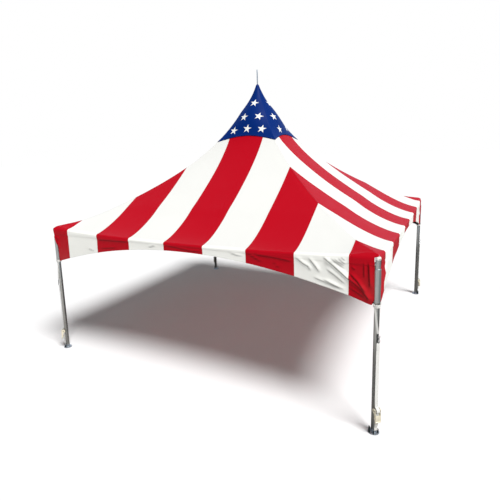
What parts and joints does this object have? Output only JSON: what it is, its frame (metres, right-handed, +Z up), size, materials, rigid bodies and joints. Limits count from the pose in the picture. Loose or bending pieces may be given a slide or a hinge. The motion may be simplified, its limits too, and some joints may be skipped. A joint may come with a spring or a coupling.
{
  "type": "high-peak frame marquee tent",
  "caption": "Square frame marquee with a striped roof that sweeps up to a starred cap, arched valances, a mast on crossed cables and ratchet straps at the legs.",
  "frame": {"origin": "on the ground at the centre of the tent", "axes": "+Z up; the front eave faces -Y and the right eave faces +X"},
  "size_m": [6.269, 6.269, 5.537],
  "materials": {
    "roof_fabric": "coated vinyl in red and white stripes, satin",
    "cap_fabric": "coated vinyl in blue with white stars, satin",
    "aluminium": "mill finish tube",
    "galvanised_steel": "galvanised, dull",
    "wire_rope": "laid wire",
    "webbing": "woven polyester webbing",
    "yellow_zinc": "zinc plated, yellow passivated"
  },
  "bodies": {
    "tent": {"base_plate_a": "galvanised_steel", "base_plate_b": "galvanised_steel", "base_plate_c": "galvanised_steel", "base_plate_d": "galvanised_steel", "leg_a": "aluminium", "leg_b": "aluminium", "leg_c": "aluminium", "leg_d": "aluminium", "corner_head_a": "aluminium", "corner_head_b": "aluminium", "corner_head_c": "aluminium", "corner_head_d": "aluminium", "strap_a": "webbing", "strap_b": "webbing", "strap_c": "webbing", "strap_d": "webbing", "ratchet_a": "yellow_zinc", "ratchet_b": "yellow_zinc", "ratchet_c": "yellow_zinc", "ratchet_d": "yellow_zinc", "cable_a": "wire_rope", "cable_b": "wire_rope", "cable_c": "wire_rope", "cable_d": "wire_rope", "beam_front": "aluminium", "beam_right": "aluminium", "beam_back": "aluminium", "beam_left": "aluminium", "roof_front": "roof_fabric", "roof_right": "roof_fabric", "roof_back": "roof_fabric", "roof_left": "roof_fabric", "valance_front": "roof_fabric", "valance_right": "roof_fabric", "valance_back": "roof_fabric", "valance_left": "roof_fabric", "mast": "aluminium", "mast_foot": "galvanised_steel", "crown": "galvanised_steel", "finial_rod": "aluminium", "peak_cap": "cap_fabric"},
    "handle_a": {"ratchet_handle_a": "yellow_zinc"},
    "handle_b": {"ratchet_handle_b": "yellow_zinc"},
    "handle_c": {"ratchet_handle_c": "yellow_zinc"},
    "handle_d": {"ratchet_handle_d": "yellow_zinc"}
  },
  "joints": [
    {"name": "ratchet_a_lever", "type": "hinge", "parent": "tent", "child": "handle_a", "pos_m": [-3.07458, -3.07458, 0.36], "axis": [-0.7071, 0.7071, 0], "range_deg": [0, 150]},
    {"name": "ratchet_b_lever", "type": "hinge", "parent": "tent", "child": "handle_b", "pos_m": [3.07458, -3.07458, 0.36], "axis": [-0.7071, -0.7071, 0], "range_deg": [0, 150]},
    {"name": "ratchet_c_lever", "type": "hinge", "parent": "tent", "child": "handle_c", "pos_m": [3.07458, 3.07458, 0.36], "axis": [0.7071, -0.7071, 0], "range_deg": [0, 150]},
    {"name": "ratchet_d_lever", "type": "hinge", "parent": "tent", "child": "handle_d", "pos_m": [-3.07458, 3.07458, 0.36], "axis": [0.7071, 0.7071, 0], "range_deg": [0, 150]}
  ]
}
